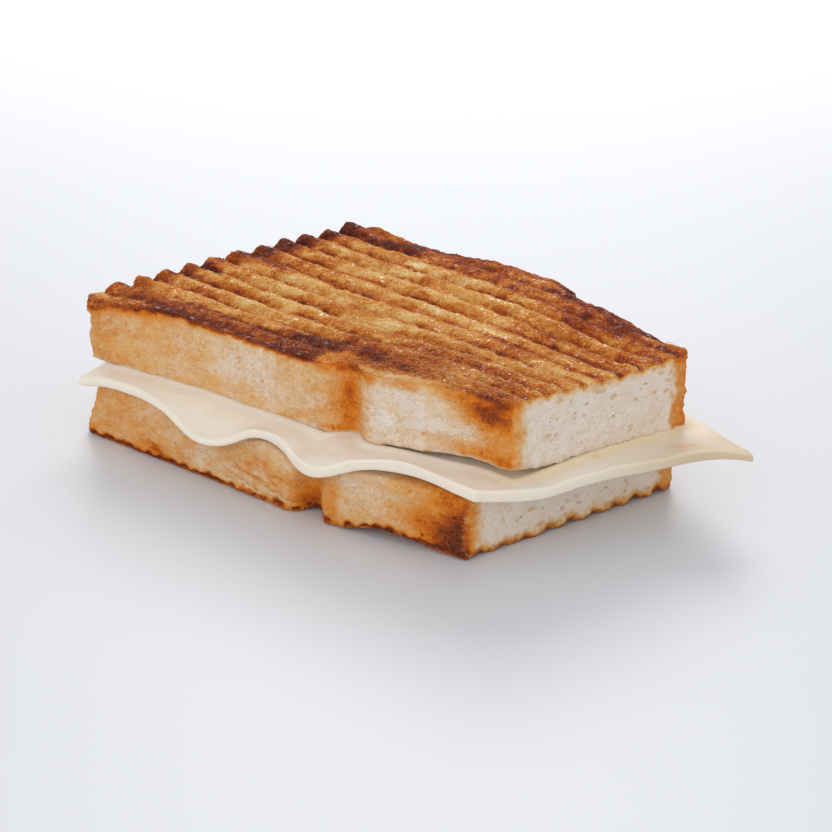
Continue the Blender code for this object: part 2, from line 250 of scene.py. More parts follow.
def even_skin(node, square, hidden):
    """A copy of a node's mesh made of even squares, halved where hidden(normals) says no and relaxed."""
    blank = bpy.data.objects.new("blank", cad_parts[node].data.copy())
    bpy.context.scene.collection.objects.link(blank)
    skin = blank.modifiers.new("even skin", "REMESH")
    skin.mode = "VOXEL"
    skin.voxel_size = 2.0 * square
    graph = bpy.context.evaluated_depsgraph_get()
    mesh = bpy.data.meshes.new_from_object(blank.evaluated_get(graph))
    bpy.data.objects.remove(blank)
    shown = ~hidden(normals_of(mesh))
    builder = bmesh.new()
    builder.from_mesh(mesh)
    edges = set()
    for face in builder.faces:
        if all(shown[corner.index] for corner in face.verts):
            edges.update(face.edges)
    bmesh.ops.subdivide_edges(builder, edges=list(edges), cuts=1, use_grid_fill=True)
    axes = {"use_axis_x": True, "use_axis_y": True, "use_axis_z": True}
    for _ in range(RELAXING_ROUNDS):
        bmesh.ops.smooth_vert(builder, verts=builder.verts, factor=0.5, **axes)
    builder.to_mesh(mesh)
    builder.free()
    return mesh


def new_piece(name, mesh, material, node=None):
    """A piece of the sandwich: it rides on the only body, and may stand for a node."""
    piece = bpy.data.objects.new(name, mesh)
    bpy.context.scene.collection.objects.link(piece)
    mesh.materials.clear()
    mesh.materials.append(material)
    mesh.shade_smooth()
    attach(piece, "root")
    if node:
        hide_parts(node)
    return piece


# Shader maths


class Value:
    """A socket that adds Math nodes when it is used in a sum."""

    def __init__(self, recipe, socket):
        self.recipe = recipe
        self.socket = socket

    def math(self, operation, *terms):
        return self.recipe.node("ShaderNodeMath", {"operation": operation}, terms)

    def __add__(self, other):
        return self.math("ADD", self, other)

    def __sub__(self, other):
        return self.math("SUBTRACT", self, other)

    def __rsub__(self, other):
        return self.math("SUBTRACT", other, self)

    def __mul__(self, other):
        return self.math("MULTIPLY", self, other)

    __radd__ = __add__
    __rmul__ = __mul__

    def between(self, low, high):
        """0 up to low and 1 from high on, with a soft turn."""
        inputs = {"Value": self, "From Min": low, "From Max": high}
        return self.recipe.node("ShaderNodeMapRange", {"interpolation_type": "SMOOTHSTEP"}, inputs)


class Recipe:
    """A material being made: its node tree, and one way of adding any node."""

    def __init__(self, name):
        self.material = bpy.data.materials.new(name)
        self.material.use_nodes = True
        self.tree = self.material.node_tree
        self.surface = self.tree.nodes["Principled BSDF"]

    def node(self, kind, settings=None, inputs=(), output=0):
        """Adds a node; settings are set first, then the sockets by name, by number or in order."""
        made = self.tree.nodes.new(kind)
        for name, setting in (settings or {}).items():
            if name == "stops":
                self.fill_ramp(made.color_ramp, setting)
            else:
                setattr(made, name, setting)
        pairs = inputs.items() if isinstance(inputs, dict) else enumerate(inputs)
        for place, given in pairs:
            self.feed(made.inputs[place], given)
        return Value(self, made.outputs[output])

    def feed(self, socket, given):
        if isinstance(given, Value):
            self.tree.links.new(given.socket, socket)
        else:
            socket.default_value = given

    def fill_ramp(self, ramp, stops):
        while len(ramp.elements) < len(stops):
            ramp.elements.new(0.5)
        for element, (position, colour) in zip(ramp.elements, stops):
            element.position = position
            element.color = screen_colour(*colour)

    def set(self, **sockets):
        for name, given in sockets.items():
            self.feed(self.surface.inputs[name.replace("_", " ")], given)

    def place(self):
        return self.node("ShaderNodeTexCoord", output="Object")

    def attribute(self, name):
        return self.node("ShaderNodeAttribute", {"attribute_name": name}, output="Fac")

    def scaled(self, place, *scale):
        return self.node("ShaderNodeMapping", {}, {"Vector": place, "Scale": scale})

    def ramp(self, tone, stops):
        return self.node("ShaderNodeValToRGB", {"stops": stops}, (tone,))

    def mixed(self, share, first, second):
        """The first colour drawn towards the second by a share: the sockets of a Mix go by number."""
        return self.node("ShaderNodeMix", {"data_type": "RGBA"}, {0: share, 6: first, 7: second}, 2)

    def bump(self, strength, distance, height):
        """Relief that is too fine for the mesh; the distance is in mm."""
        inputs = {"Strength": strength, "Distance": distance * MM, "Height": height}
        self.set(Normal=self.node("ShaderNodeBump", {}, inputs))

    def bubbles(self, place, size):
        """Distance to the middle of round cells that are about size mm across."""
        return self.node("ShaderNodeTexVoronoi", {}, {"Vector": place, "Scale": 1.0 / (size * MM)})

    def speckle(self, place, size, detail=2.0, roughness=0.5, distortion=0.0):
        """Noise whose blots are about size mm across, from 0 to 1 round 0.5."""
        inputs = {"Vector": place, "Scale": 1.0 / (size * MM), "Detail": detail, "Roughness": roughness,
                  "Distortion": distortion}
        return self.node("ShaderNodeTexNoise", {}, inputs)


def linear(*screen):
    """A screen colour of 0 to 255 as the light that a material holds."""
    shares = [value / 255.0 for value in screen]
    return tuple(share / 12.92 if share <= 0.04045 else ((share + 0.055) / 1.055) ** 2.4 for share in shares)


def screen_colour(*screen):
    return (*linear(*screen), 1.0)


# Browning of bread as screen colours: from pale crumb to burnt, for the grilled faces and for the side crusts
GRILLED_STOPS = (
    (0.00, (240, 214, 168)),
    (0.16, (233, 192, 126)),
    (0.32, (224, 163, 84)),
    (0.48, (208, 124, 42)),
    (0.64, (180, 85, 23)),
    (0.80, (140, 58, 27)),
    (1.00, (92, 37, 23)),
)
SIDE_STOPS = (
    (0.00, (232, 221, 209)),
    (0.10, (231, 211, 190)),
    (0.22, (226, 192, 154)),
    (0.34, (222, 170, 112)),
    (0.44, (221, 152, 84)),
    (0.54, (221, 138, 52)),
    (0.66, (207, 110, 20)),
    (0.80, (168, 76, 24)),
    (1.00, (96, 42, 24)),
)


def bread_material(name):
    """Bread: crust browned by the painted amounts, with pale crumb where it was cut."""
    recipe = Recipe(name)
    place = recipe.place()
    browning = recipe.attribute("browning")
    grilled = recipe.attribute("grilled")
    cut = recipe.attribute("cut")
    side = (1.0 - grilled) * (1.0 - cut)

    along_ridges = recipe.scaled(place, 0.42, 1.0, 1.0)
    blots = recipe.speckle(along_ridges, 3.0, 3.0, 0.6, 0.4) - 0.5
    grain = recipe.speckle(place, 1.25, 3.0, 0.62, 1.6) - 0.5
    fine = recipe.speckle(place, 0.55, 1.0, 0.6, 0.8) - 0.5
    drawn = recipe.scaled(place, 0.62, 0.7, 1.0)
    wisps = recipe.speckle(drawn, 2.0, 4.0, 0.68, 1.1) - 0.5
    patches = recipe.speckle(place, 7.0, 3.0, 0.6, 0.8) - 0.5

    grilled_tone = 0.44 * blots + 0.76 * grain + 0.42 * fine
    dark_specks = 0.22 * recipe.speckle(place, 1.7, 2.0, 0.6, 0.6).between(0.64, 0.74)
    side_tone = 0.30 * patches + 0.38 * wisps + 0.32 * fine + dark_specks
    tone = browning + grilled * grilled_tone + side * side_tone + cut * (0.14 * fine + 0.06 * blots)
    grilled_colour = recipe.ramp(tone, GRILLED_STOPS)
    side_colour = recipe.ramp(tone, SIDE_STOPS)
    colour = recipe.mixed(grilled, side_colour, grilled_colour)

    pale = 1.0 - tone.between(0.35, 0.75)
    # Painted highlight: small pale cream specks on the grilled face, strongest on its paler parts, stand for
    # glints on the crests.
    painted_highlight_specks = grilled * recipe.speckle(place, 1.3, 2.0, 0.6, 1.0).between(0.60, 0.74)
    colour = recipe.mixed(0.32 * painted_highlight_specks * (0.2 + 0.8 * pale), colour, screen_colour(252, 226, 180))
    yellow = side * pale * recipe.speckle(place, 9.0, 2.0, 0.5).between(0.50, 0.70)
    colour = recipe.mixed(0.30 * yellow, colour, screen_colour(228, 180, 96))

    lying = recipe.scaled(place, 1.0, 0.55, 1.0)
    wander = recipe.node("ShaderNodeTexNoise", {}, {"Vector": place, "Scale": 700.0}, "Color")
    reach = (1.2 * MM, 1.2 * MM, 1.2 * MM)
    warped = recipe.node("ShaderNodeVectorMath", {"operation": "MULTIPLY_ADD"}, (wander, reach, lying))
    bubbles = recipe.bubbles(warped, 1.9)
    uneven = recipe.speckle(place, 5.0, 2.0)
    # Painted shade: the crumb's pores on the cut face are coloured a darker tan for the shade inside them;
    # the same mask also dents the bump.
    pores_with_painted_shade = cut * (1.0 - bubbles.between(0.08, 0.10 + 0.50 * uneven.between(0.42, 0.70)))
    small_bubbles = recipe.bubbles(warped, 1.0)
    pores_with_painted_shade = pores_with_painted_shade + 0.30 * cut * (1.0 - small_bubbles.between(0.05, 0.40)) * (1.0 - pores_with_painted_shade)
    streaks = cut * recipe.speckle(lying, 1.1, 3.0, 0.65, 0.6).between(0.50, 0.70)
    # Painted shade in the pores: darker tan inside the crumb's holes.
    colour = recipe.mixed(0.75 * pores_with_painted_shade, colour, screen_colour(216, 166, 100))
    colour = recipe.mixed(0.45 * streaks, colour, screen_colour(222, 188, 140))
    curls = recipe.speckle(drawn, 3.4, 3.0, 0.55, 2.2) - 0.5
    threads = side * (1.0 - (curls * curls).between(0.0, 0.0009))
    threads = threads * recipe.speckle(place, 6.0, 2.0).between(0.45, 0.62)
    colour = recipe.mixed(0.40 * threads, colour, screen_colour(196, 112, 46))
    oily = recipe.speckle(place, 1.2, 2.0, 0.6, 0.5).between(0.57, 0.66)
    recipe.set(Base_Color=colour, Roughness=0.85 - 0.25 * grilled * oily)
    recipe.set(Coat_Weight=(0.40 + 0.40 * pale) * grilled * oily, Coat_Roughness=0.16)

    web = recipe.speckle(lying, 0.9, 2.0, 0.7, 0.6)
    height = grilled * (0.75 * grain + 0.45 * fine) + side * (0.55 * wisps + 0.36 * fine) + cut * 0.42 * web
    recipe.bump(1.0, 0.9, height - 0.28 * pores_with_painted_shade)
    recipe.set(Specular_IOR_Level=0.15, Subsurface_Weight=0.10, Subsurface_Radius=(1.0, 0.6, 0.35))
    recipe.set(Subsurface_Scale=1.2 * MM)
    return recipe.material


def cheese_material(settings):
    recipe = Recipe("mild_white_cheese")
    place = recipe.place()
    upper = recipe.attribute("upper")
    peach = upper * recipe.speckle(place, 16.0, 2.0).between(0.35, 0.65)
    colour = recipe.mixed(0.40 * peach, (*settings.cheese_colour, 1.0), screen_colour(235, 214, 196))
    yellow = recipe.speckle(place, 6.0, 3.0).between(0.5, 0.75) * 0.18 * upper + recipe.attribute("buttery")
    colour = recipe.mixed(yellow, colour, screen_colour(236, 211, 160))
    # Painted shade: the cheese's thin tip towards the cut end is coloured darker and warmer.
    colour = recipe.mixed(recipe.attribute("thin"), colour, screen_colour(208, 188, 156))
    spots = 0.9 * recipe.attribute("crusty") * recipe.speckle(place, 2.0, 3.0, 0.6).between(0.34, 0.52)
    colour = recipe.mixed(spots, colour, screen_colour(218, 160, 96))
    recipe.set(Base_Color=colour, Roughness=0.36 + 0.2 * recipe.speckle(place, 4.0, 3.0))
    recipe.bump(0.3, 0.4, recipe.speckle(place, 2.5, 3.0, 0.5))
    recipe.set(Specular_IOR_Level=0.35, Subsurface_Weight=0.55, Subsurface_Radius=(1.0, 0.85, 0.6))
    recipe.set(Subsurface_Scale=2.0 * MM)
    return recipe.material


# The slices

# Scorched patches of the upper grilled face, and paler patches where the strength is negative, some of them
# painted highlight: x, y, half length, half width, turn, strength
SCORCHES_AND_PAINTED_SHEEN = (
    (-68.0, -28.0, 3.5, 2.0, -5.0, 0.16),
    (-66.5, -20.5, 4.5, 2.6, -5.0, 0.34),
    (-65.0, -13.5, 6.0, 2.6, -5.0, 0.42),
    (-63.5, -6.0, 8.0, 2.8, -5.0, 0.44),
    (-64.0, 1.5, 4.5, 2.4, -5.0, 0.26),
    (-60.0, 8.5, 5.0, 2.4, -8.0, 0.30),
    (-50.0, 8.0, 9.0, 2.0, -6.0, 0.40),
    (-60.0, 16.0, 5.5, 2.6, -8.0, 0.40),
    (-59.5, 23.5, 6.5, 2.8, -8.0, 0.46),
    (-59.0, 31.0, 5.0, 2.8, -8.0, 0.46),
    (-58.0, 38.0, 5.0, 2.8, -8.0, 0.46),
    (-46.0, 41.5, 13.0, 3.4, -4.0, 0.44),
    (-38.0, 24.0, 8.0, 1.6, -8.0, 0.20),
    (-6.0, 10.5, 10.0, 1.4, -8.0, 0.12),
    (20.0, 14.0, 10.0, 1.6, -8.0, 0.10),
    (4.0, -24.6, 7.0, 2.6, -4.0, 0.22),
    (16.0, -27.0, 7.0, 3.4, -14.0, 0.44),
    (27.0, -29.5, 8.0, 2.6, -4.0, 0.22),
    (53.5, -30.0, 4.6, 2.6, 10.0, 0.26),
    (-46.0, 24.0, 16.0, 12.0, -8.0, 0.13),
    (-50.0, -1.0, 8.0, 3.0, -8.0, 0.12),
    (-56.0, -17.0, 9.0, 5.0, -8.0, 0.08),
    (-2.0, -6.0, 16.0, 7.0, -8.0, -0.10),
    (48.0, -22.0, 12.0, 5.0, 0.0, -0.06),
    # Pale buttery patches; they also serve as painted highlight, the white sheen of oily spots on the crests.
    (-24.7, -14.4, 3.4, 1.5, -8.0, -0.30),
    (-10.8, -16.4, 3.0, 1.4, -8.0, -0.34),
    (-34.0, -19.0, 5.0, 1.6, -8.0, -0.16),
    (-19.0, 30.6, 4.0, 1.3, -8.0, -0.24),
    (4.0, 6.0, 7.0, 1.6, -8.0, -0.14),
    (45.0, -0.8, 5.0, 2.0, -8.0, -0.14),
)
# Where the ridges end at the base end: y and x
LEFT_ENDS = ((-35.7, -72.6), (-21.8, -69.1), (-7.5, -66.7), (7.2, -64.1), (22.6, -62.5), (37.8, -60.3),
             (44.8, -57.5))
# Inner side of the burnt band on the near edge, and how dark the band is, along x
NEAR_BAND = ((-76, -40.0), (-66, -35.5), (-60, -31.5), (-53, -29.0), (-36, -28.6), (-24, -28.4), (-14, -27.0),
             (-7, -24.6), (-2, -23.6), (4, -24.0), (7, -27.0), (9, -38.0))
NEAR_BAND_STRENGTH = ((-76, 0.03), (-66, 0.14), (-56, 0.24), (-48, 0.40), (-6, 0.46), (3, 0.42), (8, 0.04),
                      (70, 0.0))
# Inner side of the dark band on the far edge
FAR_BAND = ((-44, 44.0), (-30, 37.0), (-12, 32.5), (4, 30.0), (21, 25.5), (35, 22.5), (48, 20.0), (60, 17.5),
            (72, 17.0))
FAR_BAND_STRENGTH = ((-44, 0.20), (-28, 0.34), (-8, 0.36), (30, 0.34), (56, 0.34), (66, 0.24), (72, 0.10))

# Marks on the near side crusts: x, z, half length, half height, turn, strength
TOP_NEAR_MARKS = (
    (-57.0, 36.0, 14.0, 2.0, 3.0, 0.26),
    (-22.0, 23.5, 14.0, 2.0, 0.0, 0.12),
    (-12.0, 29.0, 12.0, 5.0, 0.0, -0.06),
    (4.0, 24.5, 7.0, 1.4, 24.0, 0.14),
    (5.0, 31.0, 7.0, 1.0, 30.0, 0.10),
    (13.4, 32.5, 1.8, 2.6, 10.0, 0.20),
    (14.0, 27.0, 1.8, 6.0, -6.0, 0.10),
    (10.5, 22.0, 4.0, 1.1, 0.0, 0.26),
    (30.0, 38.0, 14.0, 1.6, 0.0, 0.20),
    (48.0, 25.0, 9.0, 2.6, -6.0, 0.32),
    (38.0, 27.0, 8.0, 1.2, 8.0, 0.10),
    (51.0, 36.5, 9.0, 3.2, -8.0, 0.28),
    (52.5, 35.6, 5.0, 3.0, 0.0, 0.28),
)
BOTTOM_NEAR_MARKS = (
    (-44.0, 3.0, 6.0, 2.2, 10.0, 0.22),
    (-10.0, 8.6, 1.6, 1.8, 0.0, 0.20),
    (-4.0, 10.0, 1.2, 1.6, 0.0, 0.20),
    (-18.0, 12.0, 14.0, 2.2, 0.0, 0.08),
    (7.0, 3.0, 3.0, 3.6, 0.0, 0.28),
    (16.5, 7.0, 2.2, 8.0, 0.0, 0.22),
    (26.0, 2.6, 10.0, 1.8, 0.0, 0.16),
    (44.0, 4.0, 6.0, 3.4, 0.0, 0.14),
    (40.5, 10.5, 2.0, 2.0, 0.0, 0.12),
    (53.0, 15.0, 4.0, 2.0, 0.0, -0.22),
    (52.5, 5.0, 3.4, 5.0, 0.0, 0.16),
    (46.0, 6.0, 7.0, 3.0, -20.0, 0.20),
    (38.0, 8.0, 6.0, 2.0, -20.0, 0.10),
)

# How brown the side crust is along x: place and amount
TOP_NEAR_SIDE = ((-78, 0.40), (-62, 0.38), (-45, 0.32), (-28, 0.24), (-12, 0.19), (-2, 0.25), (4, 0.26),
                 (9, 0.30), (12, 0.42), (14.5, 0.58), (17, 0.50), (20, 0.30), (24, 0.09), (36, 0.05),
                 (43, 0.09), (50, 0.24), (55, 0.46), (60, 0.56))
TOP_FAR_SIDE = ((-62, 0.42), (-40, 0.30), (-10, 0.24), (14, 0.46), (24, 0.66), (34, 0.30), (56, 0.42),
                (70, 0.52))
BOTTOM_NEAR_SIDE = ((-75, 0.40), (-50, 0.38), (-30, 0.27), (-5, 0.26), (4, 0.38), (9, 0.58), (16, 0.30),
                    (26, 0.22), (36, 0.31), (45, 0.54), (51, 0.84), (56, 0.92))
BOTTOM_FAR_SIDE = ((-60, 0.40), (-30, 0.28), (0, 0.30), (16, 0.44), (23, 0.66), (34, 0.34), (56, 0.50),
                   (66, 0.6))
END_SIDE = 0.42             # the same for the crust of the base end


def along(table, x):
    return np.interp(x, [place for place, _ in table], [amount for _, amount in table])


def side_browning(places, normals, near_table, far_table):
    """Browning of the side crust from the way it faces."""
    x = places[:, 0]
    near = smooth(-normals[:, 1], -0.1, 0.6)
    far = smooth(normals[:, 1], -0.1, 0.6)
    total = near + far + 0.001
    amount = (near * along(near_table, x) + far * along(far_table, x)) / total
    left = smooth(-normals[:, 0], 0.5, 0.9) * smooth(-x, 40.0, 60.0)
    return amount + left * (END_SIDE - amount)


def pores(places, size, seed):
    """How deep in a bubble of the crumb each place is, from 0 to 1."""
    depths = []
    for place in (places / size + seed * 7.3).tolist():
        distances, points = noise.voronoi(place)
        chance = noise.cell(points[0] * 3.7)
        depths.append(max(0.0, 1.0 - distances[0] / (0.18 + 0.30 * abs(chance))))
    return np.array(depths)


def stained(x, z, marks):
    """Sum of the side crust's marks: each has x, z, half length, half height, turn and strength."""
    total = 0.0
    for centre_x, centre_z, long, high, turn, strength in marks:
        total = total + strength * spot(x, z, centre_x, centre_z, long, high, turn)
    return total


def creases(places, size, seed):
    """Thin wandering lines, 1 in the middle of each."""
    return smooth(0.16 - np.abs(clouds(places, size, seed)), 0.0, 0.16)


def ragged_edge(places, seed):
    """Torn crust: broad bulges with small sharp notches and loose crumb."""
    broad = clouds(places, (7.0, 7.0, 5.0), seed) + 0.5 * clouds(places, (3.0, 4.0, 2.6), seed + 1)
    crumb = 0.30 * clouds(places, 1.4, seed + 3) + 0.16 * clouds(places, 0.9, seed + 4)
    notches = np.abs(clouds(places, (2.4, 3.0, 1.9), seed + 2))
    return 1.6 * broad + 1.5 * (0.25 - notches) + crumb


def skin_shares(normals, past_cut, grilled):
    """How far each place belongs to the cut end, to the side crust, and to what faces near."""
    cut = smooth(normals[:, 0], 0.45, 0.75) * smooth(past_cut, -6.0, -3.0) * (1.0 - grilled)
    side = (1.0 - grilled) * (1.0 - cut) * smooth(1.0 - np.abs(normals[:, 2]), 0.3, 0.7)
    return cut, side, smooth(-normals[:, 1], 0.2, 0.6)


def shape_top_slice(mesh):
    places, normals = places_of(mesh), normals_of(mesh)
    x, y, z = places.T.copy()
    x += 1.4 * smooth(-x, 50.0, 72.0) * bump(y, -4.0, 34.0)
    number = upper_number(x, y) + 0.08 * clouds(places, (24.0, 9.0, 30.0), 1)
    number += 0.07 * clouds(places, (4.0, 3.4, 30.0), 9)
    valley = valley_shape(number)
    past_cut = past_cut_end(x, y, TOP_CUT)
    past_left_end = x - along(LEFT_ENDS, y)
    change = 1.0 + 0.8 * clouds(places, (22.0, 5.0, 40.0), 2) + 0.4 * clouds(places, (6.0, 4.0, 40.0), 10)
    change *= 1.0 - 0.45 * smooth(past_cut, -6.0, -1.0)
    change *= 1.0 + 0.6 * (1.0 - smooth(past_left_end, 0.0, 7.0))
    change *= 1.0 - 0.4 * smooth(-y, 14.0, 26.0) * smooth(-x, 30.0, 46.0) * smooth(x, -68.0, -62.0)
    far_band = smooth(y - along(FAR_BAND, x), -2.0, 3.5)
    roof = top_roof(x, y, valley, change * (1.0 - 0.45 * far_band))
    grilled = smooth(normals[:, 2], 0.25, 0.6) * smooth(z - roof, -3.0, -1.5)
    z += grilled * (roof - z)
    below = np.maximum(roof - z, 0.0)
    cut, side, near = skin_shares(normals, past_cut, grilled)

    # The lower rim settles on the cheese, and is less round than the skin made it
    edge = distance_outside(TOP_OUTLINE, x, y)
    over = z - filling_floor(x, y) - CHEESE_THICKNESS
    rim = (1.0 - smooth(over, 0.5, 3.2)) * smooth(edge, -5.0, -1.5) * (1.0 - grilled)
    z -= (0.3 + (0.9 + 0.5 * smooth(past_cut, -4.0, -1.0)) * smooth(edge, -3.0, 0.5)) * rim
    y += 0.5 * normals[:, 1] * rim * near

    coarse, middle = clouds(places, 9.0, 3), clouds(places, 3.4, 4)
    small, tiny = clouds(places, 1.5, 5), clouds(places, 0.9, 26)
    flat_near = flat_stretch(x, y)
    relief = grilled * (0.22 * coarse + (0.36 + 0.16 * flat_near) * middle + 0.32 * small + 0.10 * tiny)
    relief -= 0.5 * smooth(past_cut, -2.4, 0.3) * grilled
    relief += side * (0.50 * coarse + 0.16 * middle + 0.12 * small)
    relief -= 0.35 * side * near * creases(places, (9.0, 9.0, 3.0), 12) * smooth(x, -20.0, 5.0)
    relief += side * smooth(-x, 58.0, 66.0) * ragged_edge(places, 6)
    bubbles = pores(places * (1.0, 0.6, 1.0), 1.9, 1) * cut
    relief += cut * (0.16 * middle + 0.10 * small + 0.08 * tiny) - 0.22 * bubbles
    ragged = (1.0 - smooth(over, 0.5, 3.0)) * cut
    relief += ragged * (1.0 * clouds(places, 2.2, 17) + 0.6 * clouds(places, 1.2, 18))
    far_corner = smooth(y, 17.0, 21.0) * smooth(x, 50.0, 62.0) * (1.0 - grilled)
    relief += far_corner * (0.3 * clouds(places, 3.4, 33) + 0.4 * small + 0.4 * tiny)
    places = np.column_stack((x, y, z)) + normals * relief[:, None]
    put_places(mesh, places)

    lumps = clouds(places, 2.4, 19)
    drawn = clouds(places, (26.0, 4.2, 40.0), 34) + 0.6 * clouds(places, (9.0, 2.6, 40.0), 35)
    tone = 0.38 + 0.26 * drawn + 0.10 * coarse + 0.08 * middle + 0.08 * lumps
    tone -= 0.08 * smooth(past_cut, -6.0, 0.0)
    groove = smooth(valley + 0.25 * lumps, 0.35, 0.95)
    groove_tone = (0.24 + 0.24 * clouds(places, (14.0, 5.0, 30.0), 7)) * (1.0 - 0.5 * flat_near)
    tone += groove_tone * groove * (1.0 - 0.7 * far_band)
    tone += 0.18 * flat_near + 0.10 * smooth(x + 0.6 * y, 10.0, 60.0) * (1.0 - far_band)
    tone += 0.26 * (1.0 - smooth(past_left_end + 2.0 * lumps, 0.5, 6.0)) * smooth(y, -36.0, -24.0)
    for centre_x, centre_y, long, wide, turn, strength in SCORCHES_AND_PAINTED_SHEEN:
        tone += strength * (1.0 + 0.5 * lumps) * spot(x, y, centre_x, centre_y, long, wide, turn)
    near_strength = along(NEAR_BAND_STRENGTH, x) * (1.0 + 0.25 * lumps)
    tone += near_strength * smooth(along(NEAR_BAND, x) + 1.6 * lumps - y, -1.5, 2.5)
    tone += along(FAR_BAND_STRENGTH, x) * far_band * (1.0 + 0.3 * lumps)
    tone += 0.14 * smooth(edge + lumps, -8.0, -4.0) * smooth(x, 8.0, 22.0) * far_band
    tone += 0.12 * (1.0 + 0.8 * lumps) * spot(x, y, -73.0, -36.0, 6.0, 7.0)
    tone += 0.22 * groove * bump(past_cut, -3.0, 2.2) + 0.06 * flat_near
    pale_rim = bump(x, 31.0, 10.0) * smooth(edge + lumps, -3.6, -1.4) * smooth(-y, 20.0, 30.0)
    pale_rim = np.maximum(pale_rim, smooth(spot(x, y, 9.2, -34.5, 4.4, 5.0) + 0.3 * lumps, 0.2, 0.6))
    shown = grilled * (1.0 - pale_rim)
    side_tone = side_browning(places, normals, TOP_NEAR_SIDE, TOP_FAR_SIDE)
    side_tone += near * stained(x, z, TOP_NEAR_MARKS)
    side_tone += 0.08 * coarse + 0.05 * clouds(places, (9.0, 9.0, 2.5), 8)
    side_tone += near_strength * near * (1.0 - smooth(below + 0.7 * lumps, 0.8, 1.4))
    upper_rim = 1.0 - smooth(below + 1.4 * lumps, 0.2, 3.2)
    side_tone += 0.24 * upper_rim * (1.0 - bump(x, -15.0, 14.0) * near)
    # Painted shade: the side crust is 0.10 darker along the lower rim that rests on the cheese.
    side_tone += 0.10 * (1.0 - smooth(over, 0.5, 3.0))
    wander = 1.6 * middle + 1.2 * small
    # Painted shade: the cut face is browned 0.06 more inside the crumb's pores.
    cut_tone = 0.03 + 0.04 * middle + 0.06 * bubbles
    cut_tone += 0.30 * (1.0 - smooth(below + 0.6 * wander, -0.4, 3.2))
    cut_tone += 0.20 * smooth(valley, 0.45, 0.9) * (1.0 - smooth(below, 0.4, 2.0))
    cut_tone += (0.50 + 0.16 * small) * smooth(y + wander, 18.5, 21.5)
    cut_tone += 0.52 * (1.0 - smooth(y + wander, -31.0, -24.5))
    under = smooth(-normals[:, 2], 0.3, 0.7)
    side_tone += under * (0.12 - side_tone)
    browning = shown * tone + (1.0 - shown) * (cut * cut_tone + (1.0 - cut) * side_tone)
    paint(mesh, browning=browning, grilled=shown, cut=cut)


